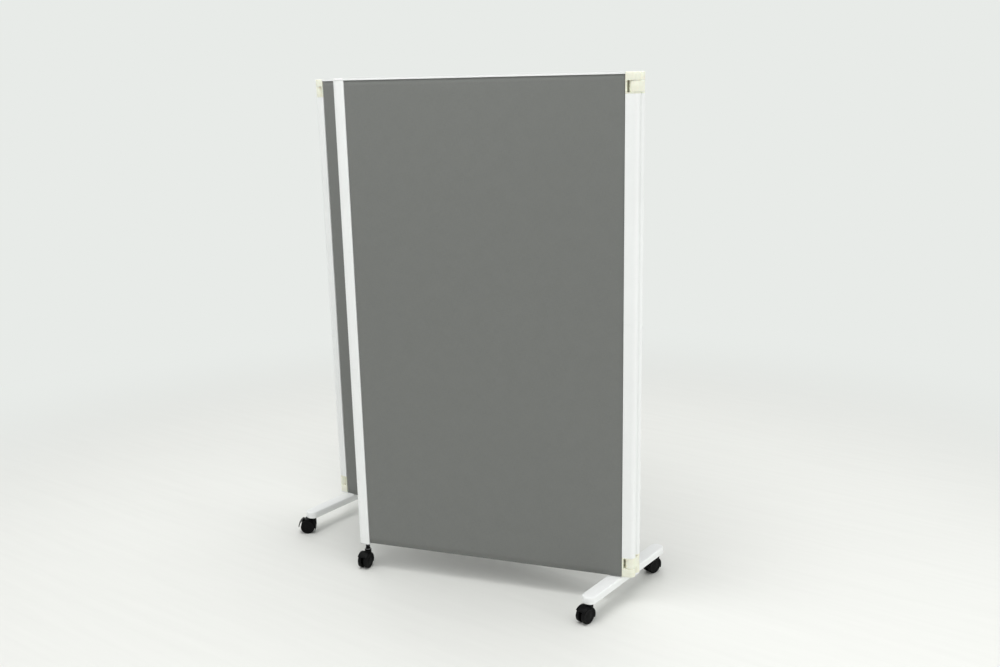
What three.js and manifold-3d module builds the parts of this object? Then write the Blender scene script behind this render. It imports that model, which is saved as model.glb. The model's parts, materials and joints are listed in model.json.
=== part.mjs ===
// Three-leaf folding screen on casters: a centre panel on two feet, and two wings on double-pivot hinges.
// Millimetres, +Z up. The origin is on the floor, under the middle of the centre panel, which stands along X.
// The front wing hangs on the centre panel's +X post and folds to its -Y side. The rear wing is the same,
// turned half a turn about Z.
import * as THREE from 'three';
import { mergeVertices } from 'three/addons/utils/BufferGeometryUtils.js';
import Module from 'manifold-3d';

const wasm = await Module();
wasm.setup();

// ---------------------------------------------------------------- driving dimensions

const HEIGHT = 1530;             // floor to the top of the panels
const CENTRE_W = 1230;           // centre panel, nose to nose of its posts
const WING_W = 905;              // wing, nose to nose of its posts
const FOLD_DEG = 16.8;           // angle between a wing and the centre panel
const PANEL_LIFT = 3;            // clear height between the feet and the panels that swing over them

// Panels
const PANEL_T = 30;              // thickness of posts and rails; the post's nose is a half round of it
const POST_W = 37.5;             // post, from the fabric's edge to the tip of its nose
const POST_WALL = 1.8;           // wall of the post tube
const TOP_RAIL_H = 5.5;          // height of the top rail, and of the cap on a wing's free post
const BOTTOM_RAIL_H = 5.5;       // height of the bottom rail, which the cloth hides
const FREE_POST_DROP = 7;        // foot of a wing's free post, below the panel's lower edge
const RAIL_WEB = 1.5;            // floor of the rail channels
const RAIL_LIP = 1.4;            // side walls of the rail channels
const FABRIC_T = 1;              // cloth and its backing
const SPIGOT_L = 25;             // how far a fitting plugs into its post

// Hinges
const PIVOT_GAP = 4;             // clear space between two facing noses
const TOP_KNUCKLE_H = 22;        // end block of the upper fork
const BOTTOM_KNUCKLE_H = 26.5;   // end block of the lower fork
const LINK_ROOM = 31;            // height of the fork's mouth
const COLLAR_H = 3;              // fork's plate against the post
const FORK_WEB = 4;              // fork's back wall, on the fabric side
const LINK_INSET = 0.5;          // link's barrel, inside the outline of the noses
const PIVOT_R = 4;               // hinge pivots
const PIVOT_L = 8;               // how far a pivot reaches into the fork
const EDGE_SOFT = 1;             // rounding of moulded edges

// Feet
const FOOT_L = 438;
const FOOT_W = 43;
const FOOT_H = 23;
const FOOT_CORNER_R = 20;        // plan corners of the foot's ends
const FOOT_SOFT = 3.5;           // rounding of the foot's long edges
const FOOT_INSET = 34;           // hinge axis to the middle of the foot
const FOOT_CASTER_INSET = 21;    // foot's tip to the caster's swivel axis
const SADDLE_W = 24;             // pad on the foot that carries the centre panel
const SADDLE_MARGIN = 4;         // pad's end, short of the nose's tip and of the foot's inner edge

// Casters
const WHEEL_R = 24;
const WHEEL_W = 11;
const TRAIL = 20;                // swivel axis to axle
const AXLE_R = 4;
const WHEEL_FACE = 3;            // wheel's closed outer face, over the end of the axle
const WHEEL_BEVEL = 2;           // tread's outer corner
const HOOD_WEB = 9;              // hood's middle wall, between the wheels
const WHEEL_GAP = 0.8;           // hood's middle wall to a wheel
const FENDER_GAP = 2;            // tread to fender
const FENDER_T = 3;
const FENDER_STEM_DEG = 205;     // fender's end on the stem side, about the axle from the trailing side
const FENDER_TRAIL_DEG = 38;     // fender's other end
const HUB_R = 12;                // middle wall about the axle
const BOSS_R = 10.5;             // hood's boss about the stem
const BOSS_RISE = 3;             // boss above the fender
const STEM_R = 3.5;              // pin that the hood turns on
const STEM_IN_HOOD = 20;         // length of that pin inside the hood
const FLANGE_R = 9;
const FLANGE_H = 0.9;
const SHANK_R = 5.2;             // stem inside the foot
const SHANK_L = 17;
const NECK_R = 6.7;              // bare stem under a wing
const WING_STEM_INSET = 24;      // nose's tip to the wing caster's swivel axis
const END_PLATE = 2;             // plate that closes the foot of a wing's free post

// Brake pedal, as angles and radii about the axle, on the trailing side
const PEDAL_PIVOT_DEG = 62;
const PEDAL_PIVOT_RISE = 5;      // tread to the pedal's pivot
const PEDAL_RISE = 5;            // tread to the inside of the pedal
const PEDAL_T = 2.2;
const PEDAL_W = 30;
const PEDAL_TIP_DEG = 3;
const PEDAL_PIN_R = 1.8;
const PEDAL_CHEEK = 3;
const PEDAL_HUB_R = 4;
const PEDAL_LUG_DEG = 11;        // lug, to each side of the pedal's pivot
const PEDAL_PLAY = 0.9;          // round the lug's end, so that the pedal can swing

// Which way each caster trails, as an angle in plan from +X
const TRAIL_DEG = {
  right_front: 260,
  right_rear: 255,
  left_front: 221,
  left_rear: 235,
  front_wing: 284,
  rear_wing: 104,
};
const BRAKED = ['left_front', 'right_rear'];

// Clearances
const FIT = 0.3;                 // between pieces that seat on each other
const ARC_STEPS = 5;             // sides in a quarter turn of a post's nose
const CORNER_STEPS = 3;          // half the sides of a foot's corner or of a pedal's curve
const ROUND_SIDES = 16;          // sides of bosses and stems
const PIN_SIDES = 12;            // sides of pins and their bores
const WHEEL_SIDES = 20;          // sides of a wheel, with a flat one on the floor
const BORE_SPARE = 0.5;          // bore past the end of its pin
const MERGE = 1e-4;

// ---------------------------------------------------------------- derived places

const CASTER_TOP = 2 * WHEEL_R + FENDER_GAP + FENDER_T + BOSS_RISE;
const FOOT_BASE = CASTER_TOP + FIT + FLANGE_H + FIT;
const FOOT_TOP = FOOT_BASE + FOOT_H;
const PANEL_BASE = FOOT_TOP + PANEL_LIFT;
const FREE_POST_BASE = PANEL_BASE - FREE_POST_DROP;
const NOSE_R = PANEL_T / 2;
const NOSE_X = POST_W - NOSE_R;                        // hinge axis, from the fabric's edge
const LINK_PITCH = PANEL_T + PIVOT_GAP;
const BARREL_R = NOSE_R - LINK_INSET;
const CENTRE_FABRIC_W = CENTRE_W - 2 * POST_W;
const WING_FABRIC_W = WING_W - 2 * POST_W;
const PIVOT_X = CENTRE_FABRIC_W / 2 + NOSE_X;
const FOOT_X = PIVOT_X - FOOT_INSET;
const CASTER_Y = FOOT_L / 2 - FOOT_CASTER_INSET;
const COVER_T = PANEL_T - 2 * (RAIL_LIP + FIT);        // board with its fabric on
const BOARD_T = COVER_T - 2 * (FABRIC_T + FIT);
const WHEEL_IN = HOOD_WEB / 2 + WHEEL_GAP;             // wheel's inner face, from the caster's middle
const WHEEL_OUT = WHEEL_IN + WHEEL_W;
const FENDER_R = WHEEL_R + FENDER_GAP;
const PEDAL_PIVOT_R = WHEEL_R + PEDAL_PIVOT_RISE;

const rad = THREE.MathUtils.degToRad;

// ---------------------------------------------------------------- materials

const white = () => new THREE.MeshStandardMaterial({ color: 0xe9ebe8, roughness: 0.45, metalness: 0.0 });
const cream = () => new THREE.MeshStandardMaterial({ color: 0xe4e5d2, roughness: 0.5, metalness: 0.0 });
const cloth = () => new THREE.MeshStandardMaterial({ color: 0x696b68, roughness: 0.95, metalness: 0.0 });
const core = () => new THREE.MeshStandardMaterial({ color: 0xb9a487, roughness: 0.9, metalness: 0.0 });
const black = () => new THREE.MeshStandardMaterial({ color: 0x121212, roughness: 0.35, metalness: 0.0 });
const steel = () => new THREE.MeshStandardMaterial({ color: 0xb8babc, roughness: 0.35, metalness: 0.9 });

// ---------------------------------------------------------------- solids

function toSolid(geometry) {
  const bare = geometry.clone();
  bare.deleteAttribute('normal');
  bare.deleteAttribute('uv');
  const merged = mergeVertices(bare, MERGE);
  const corners = merged.index.array;
  const kept = [];
  for (let i = 0; i < corners.length; i += 3) {
    const [a, b, c] = [corners[i], corners[i + 1], corners[i + 2]];
    if (a !== b && b !== c && c !== a) kept.push(a, b, c);
  }
  return new wasm.Manifold(new wasm.Mesh({
    numProp: 3,
    vertProperties: new Float32Array(merged.attributes.position.array),
    triVerts: new Uint32Array(kept),
  }));
}

function toGeometry(solid) {
  const mesh = solid.getMesh();
  const geometry = new THREE.BufferGeometry();
  geometry.setAttribute('position', new THREE.BufferAttribute(new Float32Array(mesh.vertProperties), 3));
  geometry.setIndex(new THREE.BufferAttribute(new Uint32Array(mesh.triVerts), 1));
  geometry.computeVertexNormals();
  return geometry;
}

const join = (...geometries) => geometries.map(toSolid).reduce((whole, next) => whole.add(next));
const cut = (whole, ...tools) => tools.map(toSolid).reduce((left, tool) => left.subtract(tool), whole);

// Prism of a plan outline between two heights.
function slab(shape, low, high) {
  const geometry = new THREE.ExtrudeGeometry(shape, {
    depth: high - low,
    bevelEnabled: false,
    curveSegments: ARC_STEPS,
  });
  return geometry.translate(0, 0, low);
}

// The same, with its upper and lower edges taken off in a number of steps.
function softSlab(shape, low, high, soft, softSteps, steps) {
  const geometry = new THREE.ExtrudeGeometry(shape, {
    depth: high - low - 2 * soft,
    bevelEnabled: true,
    bevelThickness: soft,
    bevelSize: soft,
    bevelOffset: -soft,
    bevelSegments: softSteps,
    curveSegments: steps,
  });
  return geometry.translate(0, 0, low + soft);
}

function block(x0, x1, y0, y1, z0, z1) {
  const geometry = new THREE.BoxGeometry(x1 - x0, y1 - y0, z1 - z0);
  return geometry.translate((x0 + x1) / 2, (y0 + y1) / 2, (z0 + z1) / 2);
}

// Upright cylinder.
function upright(radius, x, y, low, high, sides = ROUND_SIDES) {
  const geometry = new THREE.CylinderGeometry(radius, radius, high - low, sides);
  return geometry.rotateX(Math.PI / 2).translate(x, y, (low + high) / 2);
}

// Cylinder along Y, from -half to +half.
function crossRod(radius, x, z, half, sides = PIN_SIDES) {
  return new THREE.CylinderGeometry(radius, radius, 2 * half, sides).translate(x, 0, z);
}

// An outline drawn in the X-Z plane, as a wall that reaches half to each side of it.
function wall(shape, half, steps = ARC_STEPS) {
  const geometry = new THREE.ExtrudeGeometry(shape, {
    depth: 2 * half,
    bevelEnabled: false,
    curveSegments: steps,
  });
  return geometry.rotateX(Math.PI / 2).translate(0, half, 0);
}

// ---------------------------------------------------------------- outlines

// Section of a post: flat against the fabric at x = 0, with a half-round nose; inset shrinks it all round.
function noseOutline(inset = 0) {
  const radius = NOSE_R - inset;
  const shape = new THREE.Shape();
  shape.moveTo(inset, -radius);
  shape.lineTo(NOSE_X, -radius);
  shape.absarc(NOSE_X, 0, radius, -Math.PI / 2, Math.PI / 2, false);
  shape.lineTo(inset, radius);
  shape.closePath();
  return shape;
}

function linkOutline() {
  const shape = new THREE.Shape();
  shape.moveTo(0, -BARREL_R);
  shape.lineTo(LINK_PITCH, -BARREL_R);
  shape.absarc(LINK_PITCH, 0, BARREL_R, -Math.PI / 2, Math.PI / 2, false);
  shape.lineTo(0, BARREL_R);
  shape.absarc(0, 0, BARREL_R, Math.PI / 2, 3 * Math.PI / 2, false);
  return shape;
}

function footOutline() {
  const [x, y, r] = [FOOT_W / 2, FOOT_L / 2, FOOT_CORNER_R];
  const shape = new THREE.Shape();
  shape.moveTo(x, r - y);
  shape.lineTo(x, y - r);
  shape.absarc(x - r, y - r, r, 0, Math.PI / 2, false);
  shape.lineTo(r - x, y);
  shape.absarc(r - x, y - r, r, Math.PI / 2, Math.PI, false);
  shape.lineTo(-x, r - y);
  shape.absarc(r - x, r - y, r, Math.PI, 3 * Math.PI / 2, false);
  shape.lineTo(x - r, -y);
  shape.absarc(x - r, r - y, r, -Math.PI / 2, 0, false);
  return shape;
}

// Ring sector about the axle; the inner radius may be 0.
function sectorOutline(inner, outer, fromDeg, toDeg) {
  const shape = new THREE.Shape();
  shape.absarc(TRAIL, WHEEL_R, outer, rad(fromDeg), rad(toDeg), false);
  if (inner > 0) {
    shape.absarc(TRAIL, WHEEL_R, inner, rad(toDeg), rad(fromDeg), true);
  } else {
    shape.lineTo(TRAIL, WHEEL_R);
  }
  shape.closePath();
  return shape;
}

// ---------------------------------------------------------------- panel pieces
// Each is made about the middle of its panel, with the panel's width along X.

const boardBase = () => PANEL_BASE + BOTTOM_RAIL_H + FIT;
const boardTop = () => HEIGHT - RAIL_WEB - FIT;
const boardHalf = (fabricW) => fabricW / 2 - FIT - FABRIC_T - FIT;

function board(fabricW) {
  const half = boardHalf(fabricW);
  return block(-half, half, -BOARD_T / 2, BOARD_T / 2, boardBase(), boardTop());
}

// Sleeve of cloth round the faces and upright edges of the board and of the bottom rail.
function fabric(fabricW) {
  const [x, y] = [fabricW / 2 - FIT, COVER_T / 2];
  const shape = new THREE.Shape();
  shape.moveTo(-x, -y);
  shape.lineTo(x, -y);
  shape.lineTo(x, y);
  shape.lineTo(-x, y);
  shape.closePath();
  const [hx, hy] = [x - FABRIC_T, y - FABRIC_T];
  const hole = new THREE.Path();
  hole.moveTo(-hx, -hy);
  hole.lineTo(-hx, hy);
  hole.lineTo(hx, hy);
  hole.lineTo(hx, -hy);
  hole.closePath();
  shape.holes.push(hole);
  return slab(shape, PANEL_BASE, boardTop());
}

// Channel along X, to half each way; its web lies at z = 0 and its lips reach down by its height.
function rail(half, y, height) {
  const inner = y - RAIL_LIP;
  const shape = new THREE.Shape();
  shape.moveTo(-y, 0);
  shape.lineTo(-y, -height);
  shape.lineTo(-inner, -height);
  shape.lineTo(-inner, -RAIL_WEB);
  shape.lineTo(inner, -RAIL_WEB);
  shape.lineTo(inner, -height);
  shape.lineTo(y, -height);
  shape.lineTo(y, 0);
  shape.closePath();
  const geometry = new THREE.ExtrudeGeometry(shape, { depth: 2 * half, bevelEnabled: false });
  geometry.rotateX(Math.PI / 2);
  geometry.rotateZ(Math.PI / 2);
  return geometry.translate(-half, 0, 0);
}

// The top rail caps the board and its cloth; the bottom rail lies under the board, inside the cloth.
const topRail = (fabricW) => rail(fabricW / 2 - FIT, PANEL_T / 2, TOP_RAIL_H).translate(0, 0, HEIGHT);

function bottomRail(fabricW) {
  const channel = rail(boardHalf(fabricW), BOARD_T / 2, BOTTOM_RAIL_H);
  return channel.rotateX(Math.PI).translate(0, 0, PANEL_BASE);
}

// Post tube with its fabric side at x = 0 and its nose towards +X.
function postTube(low, high) {
  const shape = noseOutline();
  shape.holes.push(new THREE.Path(noseOutline(POST_WALL).getPoints(ARC_STEPS)));
  return slab(shape, low, high);
}

const forkReach = (knuckleH) => knuckleH + LINK_ROOM + COLLAR_H;

const hingePost = () => postTube(
  PANEL_BASE + forkReach(BOTTOM_KNUCKLE_H) + FIT,
  HEIGHT - forkReach(TOP_KNUCKLE_H) - FIT,
);

const freePost = () => postTube(FREE_POST_BASE + END_PLATE + FIT, HEIGHT - TOP_RAIL_H - FIT);

// Hinge fork of an upper end, hanging down from z = 0: end block, back wall, collar and spigot.
function fork(knuckleH) {
  const mouth = -knuckleH;
  const collar = mouth - LINK_ROOM;
  const under = collar - COLLAR_H;
  const whole = join(
    softSlab(noseOutline(), mouth, 0, EDGE_SOFT, 1, ARC_STEPS),
    block(0, FORK_WEB, -NOSE_R, NOSE_R, under + COLLAR_H / 2, mouth + knuckleH / 2),
    slab(noseOutline(), under, collar),
    slab(noseOutline(POST_WALL + FIT), under - SPIGOT_L, under + COLLAR_H / 2),
  );
  const bore = PIVOT_R + FIT;
  const depth = PIVOT_L + BORE_SPARE;
  return toGeometry(cut(
    whole,
    upright(bore, NOSE_X, 0, mouth - FIT, mouth + depth, PIN_SIDES),
    upright(bore, NOSE_X, 0, collar - depth, collar + FIT, PIN_SIDES),
  ));
}

const topFork = () => fork(TOP_KNUCKLE_H).translate(0, 0, HEIGHT);
const bottomFork = () => fork(BOTTOM_KNUCKLE_H).rotateX(Math.PI).translate(0, 0, PANEL_BASE);

// Plain cap that plugs into the top of a wing's free post.
function postCap() {
  const seat = HEIGHT - TOP_RAIL_H;
  return toGeometry(join(
    softSlab(noseOutline(), seat, HEIGHT, EDGE_SOFT, 1, ARC_STEPS),
    slab(noseOutline(POST_WALL + FIT), seat - SPIGOT_L, seat + TOP_RAIL_H / 2),
  ));
}

// Link between two pivots, from the first at the origin to the second on +X, low to high in the fork's mouth.
function link(mouthLow) {
  const low = mouthLow + FIT;
  const high = mouthLow + LINK_ROOM - FIT;
  const pivots = [0, LINK_PITCH].map((x) => (
    upright(PIVOT_R, x, 0, low - PIVOT_L + FIT, high + PIVOT_L - FIT, PIN_SIDES)
  ));
  return toGeometry(join(slab(linkOutline(), low, high), ...pivots));
}

// ---------------------------------------------------------------- foot

// Sockets for the two caster stems open downwards; the saddle carries the centre panel's post and rail.
function foot() {
  const inner = SADDLE_MARGIN - FOOT_W / 2;
  const outer = PIVOT_X + NOSE_R - SADDLE_MARGIN - FOOT_X;
  const whole = join(
    softSlab(footOutline(), FOOT_BASE, FOOT_TOP, FOOT_SOFT, 2, CORNER_STEPS),
    block(inner, outer, -SADDLE_W / 2, SADDLE_W / 2, FOOT_TOP - FOOT_SOFT, PANEL_BASE - FIT),
  );
  const sockets = [-CASTER_Y, CASTER_Y].map((y) => (
    upright(SHANK_R + FIT, 0, y, FOOT_BASE - FIT, FOOT_BASE + SHANK_L + BORE_SPARE, PIN_SIDES)
  ));
  return toGeometry(cut(whole, ...sockets));
}

// ---------------------------------------------------------------- casters
// Each is made about its swivel axis, with the axle on the +X side and the floor at z = 0.

// Pin for the hood and the flange over it, which every stem ends in.
const stemFoot = () => [
  upright(STEM_R, 0, 0, CASTER_TOP - STEM_IN_HOOD, CASTER_TOP + FIT + FLANGE_H, PIN_SIDES),
  upright(FLANGE_R, 0, 0, CASTER_TOP + FIT, CASTER_TOP + FIT + FLANGE_H),
];

function footStem() {
  const flangeTop = CASTER_TOP + FIT + FLANGE_H;
  return toGeometry(join(
    ...stemFoot(),
    upright(SHANK_R, 0, 0, flangeTop - FLANGE_H / 2, FOOT_BASE + SHANK_L, PIN_SIDES),
  ));
}

// Stem under a wing: a bare neck, and an end plate and plug for the free post, whose fabric side is at x = 0.
function wingStem() {
  const x = POST_W - WING_STEM_INSET;
  const lower = stemFoot().map((piece) => piece.translate(x, 0, 0));
  return toGeometry(join(
    ...lower,
    upright(NECK_R, x, 0, CASTER_TOP + FIT, FREE_POST_BASE + END_PLATE / 2),
    slab(noseOutline(), FREE_POST_BASE, FREE_POST_BASE + END_PLATE),
    slab(noseOutline(POST_WALL + FIT), FREE_POST_BASE + END_PLATE / 2, FREE_POST_BASE + END_PLATE + SPIGOT_L),
  ));
}

const pedalPivot = () => [
  TRAIL + PEDAL_PIVOT_R * Math.cos(rad(PEDAL_PIVOT_DEG)),
  WHEEL_R + PEDAL_PIVOT_R * Math.sin(rad(PEDAL_PIVOT_DEG)),
];

// Boss about the stem, cut back to clear both wheels.
function boss() {
  const wheelRoom = [-1, 1].map((side) => (
    crossRod(FENDER_R, TRAIL, WHEEL_R, (WHEEL_OUT - HOOD_WEB / 2) / 2, 2 * WHEEL_SIDES)
      .translate(0, side * (WHEEL_OUT + HOOD_WEB / 2) / 2, 0)
  ));
  return cut(toSolid(upright(BOSS_R, 0, 0, WHEEL_R + AXLE_R, CASTER_TOP)), ...wheelRoom);
}

// Middle wall from one angle to the other, out to a radius, drawn to match the fender over it.
const web = (radius, fromDeg, toDeg) => wall(sectorOutline(0, radius, fromDeg, toDeg), HOOD_WEB / 2);

// Middle wall's lug for the pedal's pin, below the fender's end.
function pedalLug(fenderEndDeg) {
  const [x, z] = pedalPivot();
  return [
    crossRod(PEDAL_HUB_R, x, z, HOOD_WEB / 2),
    wall(sectorOutline(0, WHEEL_R, PEDAL_PIVOT_DEG - PEDAL_LUG_DEG, fenderEndDeg), HOOD_WEB / 2, 1),
    wall(sectorOutline(0, PEDAL_PIVOT_R, PEDAL_PIVOT_DEG, fenderEndDeg), HOOD_WEB / 2, 1),
  ];
}

// Hood: middle wall with the axle through it, a fender over both wheels and a boss for the stem.
function hood(braked) {
  const fromDeg = braked ? PEDAL_PIVOT_DEG + PEDAL_LUG_DEG : FENDER_TRAIL_DEG;
  const body = join(
    web(FENDER_R + FENDER_T / 2, fromDeg, FENDER_STEM_DEG),
    wall(sectorOutline(FENDER_R, FENDER_R + FENDER_T, fromDeg, FENDER_STEM_DEG), WHEEL_OUT),
    crossRod(HUB_R, TRAIL, WHEEL_R, HOOD_WEB / 2, WHEEL_SIDES),
    ...(braked ? pedalLug(fromDeg) : []),
  ).add(boss());
  const [lugX, lugZ] = pedalPivot();
  const bores = [
    upright(STEM_R + FIT, 0, 0, CASTER_TOP - STEM_IN_HOOD - BORE_SPARE, CASTER_TOP + FIT, PIN_SIDES),
    ...(braked ? [crossRod(PEDAL_PIN_R + FIT, lugX, lugZ, HOOD_WEB)] : []),
  ];
  const axle = toSolid(crossRod(AXLE_R, TRAIL, WHEEL_R, WHEEL_OUT - WHEEL_FACE - FIT));
  return toGeometry(cut(body, ...bores).add(axle));
}

// Wheel on the +Y or -Y side: closed outer face, bevelled tread and a blind bore for the axle.
function wheel(side) {
  const rim = WHEEL_R / Math.cos(Math.PI / WHEEL_SIDES);
  const bore = AXLE_R + FIT;
  const profile = [
    [0, WHEEL_OUT - WHEEL_FACE],
    [bore, WHEEL_OUT - WHEEL_FACE],
    [bore, WHEEL_IN],
    [rim, WHEEL_IN],
    [rim, WHEEL_OUT - WHEEL_BEVEL],
    [rim - 2 * WHEEL_BEVEL, WHEEL_OUT],
    [0, WHEEL_OUT],
  ].map(([r, y]) => new THREE.Vector2(r, y));
  const geometry = new THREE.LatheGeometry(profile, WHEEL_SIDES, Math.PI / WHEEL_SIDES);
  if (side < 0) geometry.rotateX(Math.PI);
  return toGeometry(toSolid(geometry)).translate(TRAIL, 0, WHEEL_R);
}

// Pedal: a curved plate behind the wheels, two cheeks beside the hood's lug and the pin through it.
function brakePedal() {
  const [x, z] = pedalPivot();
  const inner = WHEEL_R + PEDAL_RISE;
  const cheekIn = HOOD_WEB / 2 + FIT;
  const plate = join(
    wall(sectorOutline(inner, inner + PEDAL_T, PEDAL_TIP_DEG, PEDAL_PIVOT_DEG), PEDAL_W / 2, CORNER_STEPS),
    crossRod(PEDAL_HUB_R, x, z, cheekIn + PEDAL_CHEEK),
  );
  const room = crossRod(PEDAL_HUB_R + PEDAL_PLAY, x, z, cheekIn);
  const pin = toSolid(crossRod(PEDAL_PIN_R, x, z, cheekIn + PEDAL_CHEEK / 2));
  return toGeometry(cut(plate, room).add(pin));
}

// ---------------------------------------------------------------- assembly

function piece(name, geometry, material) {
  const mesh = new THREE.Mesh(geometry, material);
  mesh.name = name;
  return mesh;
}

// A group set at a place in plan and turned about Z.
function placed(x, y, turnDeg, ...children) {
  const group = new THREE.Group();
  group.position.set(x, y, 0);
  group.rotation.z = rad(turnDeg);
  group.add(...children);
  return group;
}

function caster(side) {
  const braked = BRAKED.includes(side);
  const name = `caster_${side}`;
  const parts = [
    piece(`${name}_hood`, hood(braked), black()),
    piece(`${name}_wheel_a`, wheel(1), black()),
    piece(`${name}_wheel_b`, wheel(-1), black()),
  ];
  if (braked) parts.push(piece(`${name}_brake_pedal`, brakePedal(), black()));
  return parts;
}

// What every panel has besides its posts and fittings.
const panelFill = (name, fabricW) => [
  piece(`${name}_board`, board(fabricW), core()),
  piece(`${name}_fabric`, fabric(fabricW), cloth()),
  piece(`${name}_top_rail`, topRail(fabricW), white()),
  piece(`${name}_bottom_rail`, bottomRail(fabricW), white()),
];

const hingeEnd = (name) => [
  piece(`${name}_post`, hingePost(), white()),
  piece(`${name}_fork_top`, topFork(), cream()),
  piece(`${name}_fork_bottom`, bottomFork(), cream()),
];

// One foot with its two casters, for the centre panel's end at +X (turn 0) or -X (turn 180).
function footing(side) {
  const direction = side === 'right' ? 1 : -1;
  const turn = side === 'right' ? 0 : 180;
  const casters = [['front', -CASTER_Y], ['rear', CASTER_Y]].flatMap(([end, y]) => [
    placed(direction * FOOT_X, y, 0, piece(`caster_${side}_${end}_stem`, footStem(), steel())),
    placed(direction * FOOT_X, y, TRAIL_DEG[`${side}_${end}`], ...caster(`${side}_${end}`)),
  ]);
  return [
    placed(direction * FOOT_X, 0, turn, piece(`foot_${side}`, foot(), white())),
    ...casters,
  ];
}

const centrePanel = () => [
  ...panelFill('centre', CENTRE_FABRIC_W),
  placed(CENTRE_FABRIC_W / 2, 0, 0, ...hingeEnd('centre_right')),
  placed(-CENTRE_FABRIC_W / 2, 0, 180, ...hingeEnd('centre_left')),
  ...footing('right'),
  ...footing('left'),
];

// A wing with its two links, for the hinge at +X; turnDeg is how the whole lot is turned about Z.
function wingWithLinks(name, turnDeg) {
  const linkDeg = FOLD_DEG / 2 - 90;
  const hingeX = PIVOT_X + LINK_PITCH * Math.cos(rad(linkDeg));
  const hingeY = LINK_PITCH * Math.sin(rad(linkDeg));
  const reach = WING_FABRIC_W / 2 + NOSE_X;
  const stemX = POST_W - WING_STEM_INSET;
  const lowerMouth = PANEL_BASE + BOTTOM_KNUCKLE_H;
  const upperMouth = HEIGHT - TOP_KNUCKLE_H - LINK_ROOM;
  const panel = placed(
    -reach, 0, 0,
    ...panelFill(name, WING_FABRIC_W),
    placed(WING_FABRIC_W / 2, 0, 0, ...hingeEnd(`${name}_hinge`)),
    placed(
      -WING_FABRIC_W / 2, 0, 180,
      piece(`${name}_free_post`, freePost(), white()),
      piece(`${name}_post_cap`, postCap(), white()),
      piece(`caster_${name}_stem`, wingStem(), steel()),
      placed(stemX, 0, TRAIL_DEG[name] - turnDeg - FOLD_DEG - 180, ...caster(name)),
    ),
  );
  return placed(
    0, 0, turnDeg,
    placed(
      PIVOT_X, 0, linkDeg,
      piece(`${name}_link_top`, link(upperMouth), cream()),
      piece(`${name}_link_bottom`, link(lowerMouth), cream()),
    ),
    placed(hingeX, hingeY, FOLD_DEG, panel),
  );
}

const partition = new THREE.Group();
partition.name = 'rolling_partition';
partition.add(
  ...centrePanel(),
  wingWithLinks('front_wing', 0),
  wingWithLinks('rear_wing', 180),
);
partition.updateMatrixWorld(true);

export default partition;
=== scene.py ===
"""Looks of the three-leaf rolling screen, with its camera and its light.

Fabric covers, painted posts and feet, moulded hinges and twin-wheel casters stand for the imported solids.
"""

import json
import math

import bmesh
import bpy
from mathutils import Matrix, Vector, noise


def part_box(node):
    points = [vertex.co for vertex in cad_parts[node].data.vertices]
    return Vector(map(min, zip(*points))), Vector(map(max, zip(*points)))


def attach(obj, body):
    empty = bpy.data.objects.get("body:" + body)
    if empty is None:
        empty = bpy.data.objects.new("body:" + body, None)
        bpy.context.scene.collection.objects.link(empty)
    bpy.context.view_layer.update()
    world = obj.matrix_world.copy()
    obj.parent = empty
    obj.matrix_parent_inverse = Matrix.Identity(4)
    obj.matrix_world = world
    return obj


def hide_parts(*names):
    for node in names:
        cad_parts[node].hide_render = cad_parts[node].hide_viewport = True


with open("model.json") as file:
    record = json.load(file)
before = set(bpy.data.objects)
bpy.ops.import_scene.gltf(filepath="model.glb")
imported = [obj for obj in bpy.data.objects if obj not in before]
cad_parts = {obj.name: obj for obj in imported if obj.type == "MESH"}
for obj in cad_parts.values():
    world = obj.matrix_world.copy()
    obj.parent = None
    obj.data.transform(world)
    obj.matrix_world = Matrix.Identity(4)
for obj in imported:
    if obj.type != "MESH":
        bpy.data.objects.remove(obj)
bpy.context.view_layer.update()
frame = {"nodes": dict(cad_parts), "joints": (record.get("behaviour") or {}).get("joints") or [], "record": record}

# ---------------------------------------------------------------- sizes, in metres

MM = 0.001
FIT = 0.3 * MM  # play between pieces
BITE = 1 * MM  # how far joined solids reach into each other, and a hole past its face
SKIM = 0.01 * MM  # step between faces of joined solids that would otherwise coincide
SHARP = 0.02 * MM  # radius of a corner that looks sharp

PANEL_T = 30 * MM  # thickness of posts and rails
POST_W = 37.5 * MM  # post, from the fabric's edge to the tip of its nose
POST_WALL = 1.8 * MM
NOSE_X = POST_W - PANEL_T / 2  # hinge axis, from the fabric's edge
CLOTH_T = 0.8 * MM  # thickness of the cover
CLOTH_RELIEF = 0.15 * MM  # how far the stretched cloth gives
CLOTH_CALM = 30 * MM  # band along the edges, over which the give fades out
YARN_PITCH = 1.2 * MM
WRAP_R = 3.5 * MM  # fabric's bend round the board's upright edges

TOP_KNUCKLE_H = 22 * MM  # solid end of the upper fork
BOTTOM_KNUCKLE_H = 26.5 * MM  # solid end of the lower fork
LINK_ROOM = 31 * MM  # fork's mouth, where the link turns
COLLAR_H = 3 * MM  # fork's plate on the post
FORK_WEB = 4 * MM  # fork's back wall
SPIGOT_L = 25 * MM  # how far a fitting plugs into its post
TOP_SOFT = 1.6 * MM  # rounding of the fittings' top edges
LINK_R = 14.5 * MM
LINK_SEAM = 0.8 * MM  # link's ends to the fork
LINK_SOFT = 0.9 * MM
PIVOT_R = 4 * MM
PIVOT_L = 8.5 * MM  # depth of the fork's bores
PIN_L = 7.7 * MM  # how far the link's pins stand out

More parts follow.
